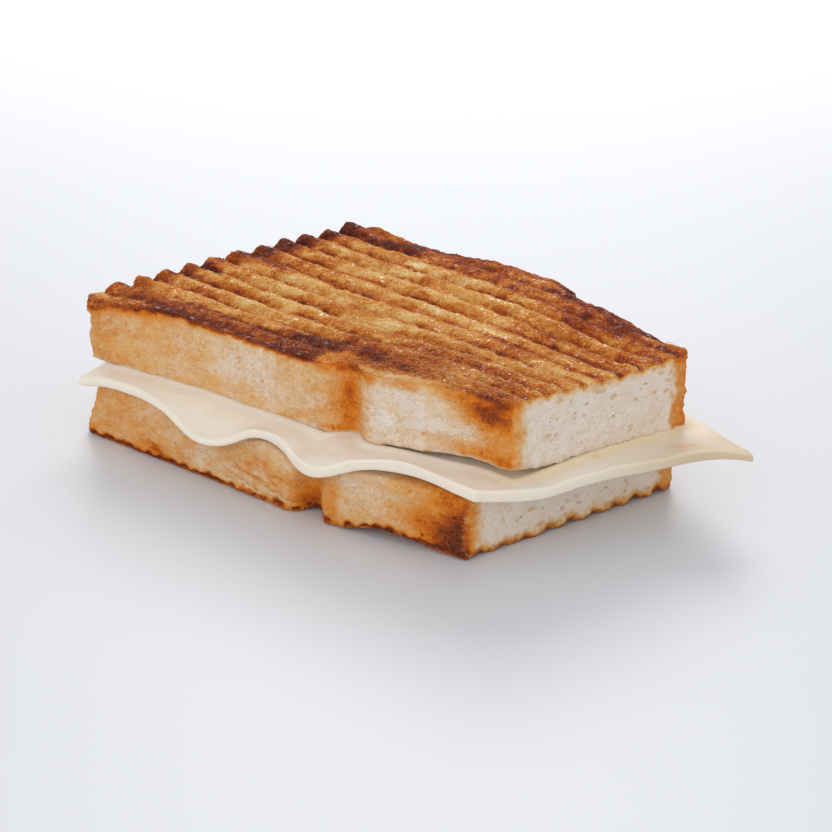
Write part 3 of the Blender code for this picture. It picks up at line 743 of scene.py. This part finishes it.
def shape_bottom_slice(mesh):
    places, normals = places_of(mesh), normals_of(mesh)
    x, y, z = places.T.copy()
    x += 1.8 * smooth(z, 6.0, 15.0) * smooth(-x, 58.0, 73.0) * smooth(-y, 10.0, 36.0)
    number = (y - LOWER_START) / LOWER_PITCH + 0.08 * clouds(places, (24.0, 9.0, 30.0), 11)
    number += 0.08 * clouds(places, (4.0, 3.0, 30.0), 27)
    valley = valley_shape(number)
    past_cut = past_cut_end(x, y, BOTTOM_CUT)
    change = 0.95 + 0.9 * clouds(places, (10.0, 5.0, 40.0), 36) - 0.3 * smooth(past_cut, -8.0, 0.0)
    floor = bottom_floor(x, y, valley * np.clip(change, 0.1, 1.5))
    grilled = smooth(-normals[:, 2], 0.25, 0.6) * smooth(floor - z, -3.0, -1.5)
    z += grilled * (floor - z)
    above = np.maximum(z - floor, 0.0)
    cut, side, near = skin_shares(normals, past_cut, grilled)

    # The upper rim gives way where the cheese hangs down
    z -= np.maximum(filling_floor(x, y) - cheese_floor(x, y), 0.0) * smooth(z, 8.0, 17.0)

    coarse, middle = clouds(places, 8.0, 13), clouds(places, 3.2, 14)
    small, tiny = clouds(places, 1.5, 15), clouds(places, 0.9, 28)
    relief = grilled * (0.10 * middle + 0.12 * small)
    relief += side * (0.45 * coarse + 0.20 * middle + 0.12 * small)
    relief -= 1.6 * spot(x, z, -70.0, 16.0, 7.0, 6.0) * side * near
    torn = near * side * (spot(x, z, -6.0, 5.0, 14.0, 5.0) + 0.8 * spot(x, z, -43.0, 3.0, 6.0, 3.0))
    slanted = np.column_stack((x, y, z + 0.16 * x))
    tears = creases(slanted, (16.0, 40.0, 2.0), 23)
    relief -= torn * (0.9 * tears - 0.5 * clouds(places, 2.0, 24))
    relief += 0.6 * side * smooth(-x, 58.0, 66.0) * ragged_edge(places, 29)
    bubbles = pores(places * (1.0, 0.6, 1.0), 1.9, 2) * cut
    relief += cut * (0.16 * middle + 0.10 * small + 0.08 * tiny) - 0.22 * bubbles
    rim = (side + cut) * (1.0 - smooth(above, 0.6, 2.8))
    relief += rim * (0.8 * clouds(places, 2.4, 31) + 0.4 * small)
    relief *= smooth(z, -0.5, 0.6) * 0.7 + 0.3
    places = np.column_stack((x, y, z)) + normals * relief[:, None]
    places[:, 2] = np.maximum(places[:, 2], 0.0)
    put_places(mesh, places)

    lumps = clouds(places, 2.4, 25)
    tone = 0.50 + 0.10 * coarse + 0.36 * valley ** 2 + 0.05 * middle
    side_tone = side_browning(places, normals, BOTTOM_NEAR_SIDE, BOTTOM_FAR_SIDE)
    side_tone += near * stained(x, z, BOTTOM_NEAR_MARKS)
    side_tone += 0.07 * coarse + 0.06 * clouds(places, (9.0, 9.0, 2.5), 18)
    side_tone += 0.22 * torn * tears
    base_line = 0.84 + 0.30 * bump(x, -38.0, 18.0) * near
    side_tone += base_line * (1.0 - smooth(above + 0.9 * lumps, 0.3, 2.0)) * side
    wander = 1.6 * middle + 1.2 * small
    # Painted shade: the cut face is browned 0.06 more inside the crumb's pores.
    cut_tone = 0.05 + 0.06 * bubbles + 0.06 * middle
    cut_tone += 0.40 * smooth(y + wander, 20.5, 24.0)
    cut_tone += 0.36 * (1.0 - smooth(above + 0.7 * wander, 0.2, 3.6))
    cut_tone += 0.26 * (1.0 - smooth(above + 0.5 * wander, -0.2, 0.9))
    cut_tone += 0.86 * (1.0 - smooth(y + wander, -40.5, -31.5))
    browning = grilled * tone + (1.0 - grilled) * (cut * cut_tone + (1.0 - cut) * side_tone)
    paint(mesh, browning=browning, grilled=grilled, cut=cut)


# The cheese


def between(start, end, share):
    return np.asarray(start) + np.asarray(share)[..., None] * (np.asarray(end) - np.asarray(start))


def near_edge(share):
    edge = between(CHEESE_NEAR_LEFT, CHEESE_NEAR_RIGHT, share)
    for centre, width, out in CHEESE_EDGE_WAVES:
        edge[:, 1] -= out * bump(edge[:, 0], centre, width)
    return edge


def far_edge(share):
    first = between(CHEESE_FAR_LEFT, CHEESE_FAR_PULL, share)
    second = between(CHEESE_FAR_PULL, CHEESE_TIP, share)
    return first + share[..., None] * (second - first)


def left_edge(share):
    inward = 3.0 * np.sin(np.pi * share)
    return between(CHEESE_NEAR_LEFT, CHEESE_FAR_LEFT, share) + np.stack((inward, 0.0 * inward), -1)


def right_edge(share):
    inward = 3.2 * np.sin(np.pi * share ** 1.6) - 1.2 * bump(share, 0.2, 0.15)
    return between(CHEESE_NEAR_RIGHT, CHEESE_TIP, share) + np.stack((-inward, 0.6 * inward), -1)


def rim_radius(x):
    """How round the cheese's edge is: soft where it hangs out of the base half, crisp at the cut end."""
    return 1.2 - 0.55 * smooth(x, -12.0, 0.0) - 0.05 * smooth(x, 22.0, 48.0)


def cheese_outline(columns, climb):
    """The cheese's edge as a ring of plan points, anticlockwise from its near left corner."""
    run = np.linspace(0.0, 1.0, columns + 1)
    near, right = near_edge(run[:-1]), right_edge(climb[:-1])
    ring = np.vstack((near, right, far_edge(run[:0:-1]), left_edge(climb[:0:-1])))
    for _ in range(5):      # rounds the corners
        ring = 0.25 * np.roll(ring, 1, 0) + 0.5 * ring + 0.25 * np.roll(ring, -1, 0)
    return ring


def four_sides(ring, columns, rows):
    """Near, right, far and left side of a ring, each run from left to right or from near to far."""
    closed = np.vstack((ring, ring[:1]))
    near = closed[:columns + 1]
    right = closed[columns:columns + rows + 1]
    far = closed[columns + rows:2 * columns + rows + 1][::-1]
    left = closed[2 * columns + rows:][::-1]
    return near, right, far, left


def cheese_plan(outline, inset, columns, climb):
    """Grid of plan points spanned by the outline's four sides, whose rim is moved in by the inset."""
    near, right, far, left = four_sides(outline, columns, len(climb) - 1)
    u = np.linspace(0.0, 1.0, columns + 1)[None, :, None]
    v = climb[:, None, None]
    sides = (1.0 - v) * near[None] + v * far[None] + (1.0 - u) * left[:, None] + u * right[:, None]
    corners = (1.0 - v) * ((1.0 - u) * near[0] + u * near[-1]) + v * ((1.0 - u) * far[0] + u * far[-1])
    width, height = 140.0, 92.0     # of the layer, roughly
    depths = (v * height, (1.0 - u) * width, (1.0 - v) * height, u * width)
    shares = [1.0 - smooth(depth, 0.0, 8.0) for depth in depths]
    moves = [side[None] if index % 2 == 0 else side[:, None]
             for index, side in enumerate(four_sides(inset, columns, len(climb) - 1))]
    moved = sum(share * move for share, move in zip(shares, moves))
    return sides - corners + moved / np.maximum(sum(shares), 1.0)


def cheese_floor(x, y):
    height = filling_floor(x, y)
    outside = distance_outside(BOTTOM_OUTLINE, x, y)
    for centre_x, centre_y, radius, drop in CHEESE_DROOPS:
        reach = smooth(outside, -6.0, 6.0) if drop > 0.0 else smooth(outside, -3.0, 4.0)
        height -= drop * reach * bump(np.hypot(x - centre_x, y - centre_y), 0.0, radius)
    return height


def surface_swell(x, y, inside):
    """Rise and fall of the cheese's upper side where no bread lies on it, with the thinning of its lip."""
    flat = np.column_stack((x, y, 0 * x))
    outside = distance_outside(TOP_OUTLINE, x, y)
    free = smooth(outside, -1.0, 2.0)
    swell = free * (0.34 * clouds(flat, 8.0, 21) + 0.10 * clouds(flat, 3.0, 22))
    lifted = bump(x, 48.0, 22.0) * smooth(-y, 12.0, 34.0)
    swell += 0.7 * bump(outside, -0.2, 1.3) * (1.0 - 0.5 * lifted)
    on_near_side = smooth(-y, 25.0, 35.0)
    thinner = 1.2 * bump(x, -26.0, 20.0) + 0.3 * (1.0 - smooth(x, -64.0, -50.0))
    swell -= thinner * (1.0 - smooth(inside, 0.0, 9.0)) * on_near_side
    swell -= 1.1 * smooth(x, 78.0, 94.0)
    return swell - 0.5 * bump(x, 12.0, 13.0) * bump(inside, 6.5, 3.0) * on_near_side


def cheese_mesh(columns, rows):
    """The cheese layer as two faces joined round a soft rim."""
    climb = np.linspace(0.0, 1.0, rows + 1)
    climb = climb * (0.6 + 0.4 * climb)
    outline = cheese_outline(columns, climb)
    run = np.roll(outline, -1, 0) - np.roll(outline, 1, 0)
    outward = np.column_stack((run[:, 1], -run[:, 0]))
    outward /= np.linalg.norm(outward, axis=1)[:, None]
    radius = rim_radius(outline[:, 0])
    plan = cheese_plan(outline, -outward * radius[:, None], columns, climb)
    x, y = plan[..., 0].ravel(), plan[..., 1].ravel()
    floor = cheese_floor(x, y)
    inside = -distance_outside(outline[::3].tolist(), x, y)
    upper = floor + CHEESE_THICKNESS + surface_swell(x, y, inside)
    parts = [np.column_stack((x, y, floor)), np.column_stack((x, y, upper))]
    steps = 14      # of the rim's half turn
    for step in range(1, steps):
        angle = math.pi * (step / steps - 0.5)
        in_by = radius * (1.0 - math.cos(angle))
        bulge = 0.15 * math.cos(angle) * clouds(np.column_stack((outline, 0.0 * radius)), 6.0, 32)
        ring = outline + outward * (bulge - in_by)[:, None]
        middle = radius if step <= steps / 2 else CHEESE_THICKNESS - radius
        lift = middle + radius * math.sin(angle)
        swell = lift / CHEESE_THICKNESS * surface_swell(ring[:, 0], ring[:, 1], in_by)
        parts.append(np.column_stack((ring, cheese_floor(ring[:, 0], ring[:, 1]) + lift + swell)))

    width = columns + 1
    count = width * (rows + 1)
    faces = []
    for row in range(rows):
        for column in range(columns):
            a = row * width + column
            faces.append((a, a + width, a + width + 1, a + 1))
            faces.append((count + a, count + a + 1, count + a + width + 1, count + a + width))
    rim = list(range(columns)) + [row * width + columns for row in range(rows)]
    rim += [rows * width + column for column in range(columns, 0, -1)]
    rim += [row * width for row in range(rows, 0, -1)]
    bands = [rim]
    for level in range(steps - 1):
        first = 2 * count + level * len(rim)
        bands.append(list(range(first, first + len(rim))))
    bands.append([count + index for index in rim])
    for lower, upper in zip(bands, bands[1:]):
        for index in range(len(rim)):
            after = (index + 1) % len(rim)
            faces.append((lower[index], lower[after], upper[after], upper[index]))
    places = np.vstack(parts)
    mesh = bpy.data.meshes.new("cheese_sheet")
    mesh.from_pydata(in_metres(places).tolist(), [], faces)
    on_top = np.zeros(len(places))
    on_top[count:2 * count] = smooth(inside, 1.2, 5.0)
    x, y = places[:, 0], places[:, 1]
    by_cut_end = bump(distance_outside(TOP_OUTLINE, x, y), 0.5, 3.0) * smooth(x, 50.0, 62.0)
    buttery = 0.55 * by_cut_end + 0.15 * spot(x, y, -30.0, -44.0, 26.0, 2.5)
    crusty = spot(x, y, 81.0, 12.5, 3.4, 2.4) + 0.5 * spot(x, y, 66.0, -6.0, 1.4, 1.0)
    # Painted shade on the cheese's thin tip, which is drawn darker.
    thin = 0.9 * smooth(x, 66.0, 86.0)
    paint(mesh, upper=on_top, thin=thin, buttery=on_top * buttery, crusty=on_top * crusty)
    return mesh


# Fibres and crumbs

FIBRE_RADIUS = (0.045, 0.085)   # thinnest and thickest
FIBRE_STATIONS = 6              # rings of corners along each
LARGEST_CRUMB = 0.3


def scattered(mesh, weights, count, seed):
    """Picks places on the mesh at random, by face area and weight: place, normal and browning of each."""
    chance = np.random.default_rng(seed)
    centres = in_outline_units(vectors_of(mesh.polygons, "center"))
    normals = vectors_of(mesh.polygons, "normal")
    share = numbers_of(mesh.polygons, "area") * weights(centres, normals)
    picked = chance.choice(len(share), count, p=share / share.sum())
    corners = numbers_of(mesh.polygons, "loop_start", int)[picked]
    tones = numbers_of(mesh.attributes["browning"].data, "value")
    tones = tones[numbers_of(mesh.loops, "vertex_index", int)[corners]]
    return centres[picked] + chance.normal(0.0, 0.15, (count, 3)), normals[picked], tones


def fibre_mesh(places, normals, tones, seed):
    """Short bent threads of crust that lie on the bread, as three-sided tubes."""
    chance = np.random.default_rng(seed)
    count = len(places)
    heading = chance.normal(size=(count, 3))
    heading -= normals * (heading * normals).sum(1)[:, None]
    heading /= np.linalg.norm(heading, axis=1)[:, None]
    sideways = np.cross(normals, heading)
    length = chance.gamma(5.0, 0.26, count)
    bend = chance.normal(0.0, 0.22, count) * length
    arch = chance.uniform(0.0, 0.16, count)
    tilt = chance.normal(0.0, 0.05, count) * length
    radius = chance.uniform(*FIBRE_RADIUS, count)
    corners = 3
    points = []
    for station in range(FIBRE_STATIONS):
        share = station / (FIBRE_STATIONS - 1)
        hump = 4.0 * share * (1.0 - share)
        middle = places + heading * ((share - 0.5) * length)[:, None] + sideways * (bend * hump)[:, None]
        middle = middle + normals * (0.03 + arch * hump + tilt * (share - 0.5))[:, None]
        for corner in range(corners):
            angle = 2.0 * math.pi * corner / corners
            reach = radius * (0.35 + 0.65 * hump)
            points.append(middle + reach[:, None] * (normals * math.cos(angle) + sideways * math.sin(angle)))
    pattern = []
    for station in range(FIBRE_STATIONS - 1):
        for corner in range(corners):
            a, b = station * corners + corner, station * corners + (corner + 1) % corners
            pattern.append((a, b, b + corners, a + corners))
    caps = [(2, 1, 0), tuple((FIBRE_STATIONS - 1) * corners + corner for corner in range(corners))]
    return joined_mesh("fibres", np.stack(points, 1), pattern + caps, tones)


def joined_mesh(name, points, pattern, tones):
    """One mesh of many like bits: points are bits by corners by 3, and pattern is one bit's faces."""
    count, size = points.shape[:2]
    faces = []
    for bit in range(count):
        faces.extend(tuple(bit * size + corner for corner in face) for face in pattern)
    mesh = bpy.data.meshes.new(name)
    mesh.from_pydata(in_metres(points.reshape(-1, 3)).tolist(), [], faces)
    paint(mesh, browning=np.repeat(tones, size))
    return mesh


def crumb_mesh(places, normals, tones, sizes, seed):
    """Small uneven lumps of toast."""
    chance = np.random.default_rng(seed)
    builder = bmesh.new()
    bmesh.ops.create_icosphere(builder, subdivisions=2, radius=1.0)
    ball = np.array([vertex.co[:] for vertex in builder.verts])
    pattern = [tuple(vertex.index for vertex in face.verts) for face in builder.faces]
    builder.free()
    count = len(places)
    stretch = chance.uniform(0.6, 1.3, (count, 1, 3)) * sizes[:, None, None]
    shift = chance.uniform(0.0, 50.0, (count, 3))
    dents = np.stack([1.0 + 0.42 * clouds(ball * 1.2 + offset, 1.0, 41) for offset in shift])
    points = places[:, None] + ball[None] * stretch * dents[..., None]
    points = points + normals[:, None] * (0.3 * sizes)[:, None, None]
    return joined_mesh("crumbs", points, pattern, tones)


def fleck_material(name, lift):
    """Finish of fibres and crumbs: the bread's browning, a little paler."""
    recipe = Recipe(name)
    place = recipe.place()
    tone = recipe.attribute("browning") - lift + 0.5 * (recipe.speckle(place, 0.8, 2.0) - 0.5)
    recipe.set(Base_Color=recipe.ramp(tone, GRILLED_STOPS), Roughness=0.5 + 0.3 * recipe.speckle(place, 0.6))
    recipe.bump(0.4, 0.1, recipe.speckle(place, 0.3))
    return recipe.material


# Settings that a user would change

LENGTH = {"unit": "LENGTH", "subtype": "DISTANCE"}
ANGLE = {"unit": "ROTATION", "subtype": "ANGLE"}
COLOUR = {"subtype": "COLOR", "min": 0.0, "max": 1.0}


class SandwichSettings(bpy.types.PropertyGroup):
    top_square: FloatProperty(name="Top slice's squares", description="Side of the squares of its skin",
                              default=0.53 * MM, min=0.3 * MM, max=3.0 * MM, **LENGTH)
    bottom_square: FloatProperty(name="Bottom slice's squares", description="Side of the squares of its skin",
                                 default=0.46 * MM, min=0.3 * MM, max=3.0 * MM, **LENGTH)
    cheese_columns: IntProperty(name="Cheese columns", description="Squares along the layer", default=260)
    cheese_rows: IntProperty(name="Cheese rows", description="Squares across the layer", default=110)
    fibre_count: IntProperty(name="Fibres", description="Threads of crust on the top face", default=4800)
    crumb_count: IntProperty(name="Crumbs", description="Lumps of crust on the top face", default=420)
    cheese_colour: FloatVectorProperty(name="Cheese", description="Colour of the cheese",
                                       default=linear(236, 226, 210), **COLOUR)


class TableSettings(bpy.types.PropertyGroup):
    table_colour: FloatVectorProperty(name="Table", description="Colour of the table",
                                      default=(0.68, 0.69, 0.72), **COLOUR)
    far_colour: FloatVectorProperty(name="Far table", description="Its colour away from the sandwich",
                                    default=(0.80, 0.80, 0.82), **COLOUR)
    lens: FloatProperty(name="Lens", description="Focal length of the camera in millimetres", default=99.52)
    distance: FloatProperty(name="Distance", description="From the camera to what it looks at", default=0.6,
                            **LENGTH)
    azimuth: FloatProperty(name="Azimuth", description="Turn of the camera round the sandwich",
                           default=math.radians(40.0), **ANGLE)
    elevation: FloatProperty(name="Elevation", description="Height of the camera above the table",
                             default=math.radians(23.8), **ANGLE)
    key_power: FloatProperty(name="Key light", description="Power of the large lamp", default=3.0,
                             unit="POWER")
    sky_strength: FloatProperty(name="Sky", description="Strength of the even light from all round",
                                default=0.80)


# Operators


class SANDWICH_OT_top_slice(bpy.types.Operator):
    """Make the top slice with its ridges, scorches, side crust and cut end"""

    bl_idname = "sandwich.top_slice"
    bl_label = "Top slice"

    def execute(self, context):
        settings = context.scene.sandwich
        mesh = even_skin("top_slice", settings.top_square, lambda normals: normals[:, 2] < -0.5)
        shape_top_slice(mesh)
        new_piece("toasted_top_slice", mesh, bread_material("toasted_bread_upper"),
                  "top_slice")
        return {"FINISHED"}


class SANDWICH_OT_bottom_slice(bpy.types.Operator):
    """Make the bottom slice with its side crust, cut end and ridges underneath"""

    bl_idname = "sandwich.bottom_slice"
    bl_label = "Bottom slice"

    def execute(self, context):
        settings = context.scene.sandwich
        mesh = even_skin("bottom_slice", settings.bottom_square, lambda normals: abs(normals[:, 2]) > 0.7)
        shape_bottom_slice(mesh)
        new_piece("toasted_bottom_slice", mesh, bread_material("toasted_bread_lower"),
                  "bottom_slice")
        return {"FINISHED"}


class SANDWICH_OT_cheese(bpy.types.Operator):
    """Make the wavy layer of cheese between the slices"""

    bl_idname = "sandwich.cheese"
    bl_label = "Cheese layer"

    def execute(self, context):
        settings = context.scene.sandwich
        mesh = cheese_mesh(settings.cheese_columns, settings.cheese_rows)
        new_piece("melting_cheese_layer", mesh, cheese_material(settings), "cheese_layer")
        return {"FINISHED"}


class SANDWICH_OT_flecks(bpy.types.Operator):
    """Strew the toasted faces with threads of crust and with crumbs"""

    bl_idname = "sandwich.flecks"
    bl_label = "Fibres and crumbs"

    def execute(self, context):
        settings = context.scene.sandwich
        bread = bpy.data.objects["toasted_top_slice"].data

        def on_roof(places, normals):
            rough = flat_stretch(places[:, 0], places[:, 1])
            near_band = smooth(-places[:, 1], 24.0, 34.0)
            return smooth(normals[:, 2], 0.3, 0.7) * (0.10 + 1.2 * rough + 0.5 * near_band)

        found = scattered(bread, on_roof, settings.fibre_count, 51)
        mesh = fibre_mesh(*found, 52)
        new_piece("crust_fibres", mesh, fleck_material("crust_threads", 0.28))

        chance = np.random.default_rng(53)
        places, normals, tones = scattered(bread, on_roof, settings.crumb_count, 54)
        sizes = np.minimum(chance.gamma(5.0, 0.045, len(places)), LARGEST_CRUMB)
        mesh = crumb_mesh(places, normals, tones, sizes, 55)
        new_piece("crust_crumbs", mesh, fleck_material("crust_crumb", 0.12))
        return {"FINISHED"}


TABLE_RADIUS = 4.0
# Lamps: name, place and size in metres, and share of the key light's power
LAMPS = (("key_lamp", (-0.45, 0.55, 0.55), 0.45, 1.0), ("fill_lamp", (0.25, -0.8, 0.35), 0.7, 0.62))
LAMP_TARGET = Vector((0.0, 0.0, 0.02))
CAMERA_AIM = Vector((-8.19, 5.96, 7.7)) * MM
CAMERA_ROLL = math.radians(0.2)


class SANDWICH_OT_table(bpy.types.Operator):
    """Set the pale table, the soft lamps and the camera"""

    bl_idname = "sandwich.table"
    bl_label = "Table, lamps and camera"

    def execute(self, context):
        settings = context.scene.sandwich_table
        scene = context.scene
        self.add_table(scene, settings)
        self.add_lamps(scene, settings)
        self.add_camera(scene, settings)
        scene.view_settings.view_transform = "Standard"
        return {"FINISHED"}

    def add_table(self, scene, settings):
        builder = bmesh.new()
        bmesh.ops.create_circle(builder, cap_ends=True, segments=96, radius=TABLE_RADIUS)
        mesh = bpy.data.meshes.new("table")
        builder.to_mesh(mesh)
        builder.free()
        table = bpy.data.objects.new("table", mesh)
        scene.collection.objects.link(table)
        recipe = Recipe("pale_table")
        place = recipe.place()
        from_middle = recipe.node("ShaderNodeVectorMath", {"operation": "LENGTH"}, (place,), "Value")
        near_colour, far_colour = (*settings.table_colour, 1.0), (*settings.far_colour, 1.0)
        spread = from_middle + 0.02 * recipe.speckle(place, 60.0)
        colour = recipe.mixed(spread.between(0.08, 0.5), near_colour, far_colour)
        recipe.set(Base_Color=colour, Roughness=0.45)
        mesh.materials.append(recipe.material)

    def add_lamps(self, scene, settings):
        world = bpy.data.worlds.new("even_light")
        world.use_nodes = True
        background = world.node_tree.nodes["Background"]
        background.inputs["Color"].default_value = (0.96, 0.98, 1.0, 1.0)
        background.inputs["Strength"].default_value = settings.sky_strength
        scene.world = world
        for name, place, size, share in LAMPS:
            lamp = bpy.data.lights.new(name, "AREA")
            lamp.size = size
            lamp.energy = share * settings.key_power
            holder = bpy.data.objects.new(name, lamp)
            holder.location = place
            holder.rotation_euler = (LAMP_TARGET - Vector(place)).to_track_quat("-Z", "Y").to_euler()
            scene.collection.objects.link(holder)

    def add_camera(self, scene, settings):
        azimuth, elevation, roll = settings.azimuth, settings.elevation, CAMERA_ROLL
        forward = Vector((-math.sin(azimuth) * math.cos(elevation), math.cos(azimuth) * math.cos(elevation),
                          -math.sin(elevation)))
        level = Vector((math.cos(azimuth), math.sin(azimuth), 0.0))
        upright = level.cross(forward)
        right = math.cos(roll) * level + math.sin(roll) * upright
        upward = math.cos(roll) * upright - math.sin(roll) * level
        camera = bpy.data.objects.new("camera", bpy.data.cameras.new("camera"))
        camera.data.lens = settings.lens
        camera.data.sensor_width = 36.0
        camera.data.clip_start = 0.01
        turn = Matrix((right, upward, -forward)).transposed().to_4x4()
        camera.matrix_world = Matrix.Translation(CAMERA_AIM - forward * settings.distance) @ turn
        scene.collection.objects.link(camera)
        scene.camera = camera


class SANDWICH_PT_panel(bpy.types.Panel):
    """Lists the pieces of the sandwich and their settings"""

    bl_idname = "SANDWICH_PT_panel"
    bl_label = "Grilled cheese sandwich"
    bl_space_type = "VIEW_3D"
    bl_region_type = "UI"
    bl_category = "Sandwich"

    def draw(self, context):
        layout = self.layout
        for operator in OPERATORS:
            layout.operator(operator.bl_idname)
        for group in (context.scene.sandwich, context.scene.sandwich_table):
            for name in group.__annotations__:
                layout.prop(group, name)


OPERATORS = (SANDWICH_OT_bottom_slice, SANDWICH_OT_cheese, SANDWICH_OT_top_slice, SANDWICH_OT_flecks,
             SANDWICH_OT_table)
CLASSES = (SandwichSettings, TableSettings, *OPERATORS, SANDWICH_PT_panel)


def register():
    for made in CLASSES:
        bpy.utils.register_class(made)
    bpy.types.Scene.sandwich = PointerProperty(type=SandwichSettings)
    bpy.types.Scene.sandwich_table = PointerProperty(type=TableSettings)


def unregister():
    del bpy.types.Scene.sandwich_table
    del bpy.types.Scene.sandwich
    for made in reversed(CLASSES):
        bpy.utils.unregister_class(made)


def main():
    register()
    bpy.ops.sandwich.bottom_slice()
    bpy.ops.sandwich.cheese()
    bpy.ops.sandwich.top_slice()
    bpy.ops.sandwich.flecks()
    bpy.ops.sandwich.table()


if __name__ == "__main__":
    main()
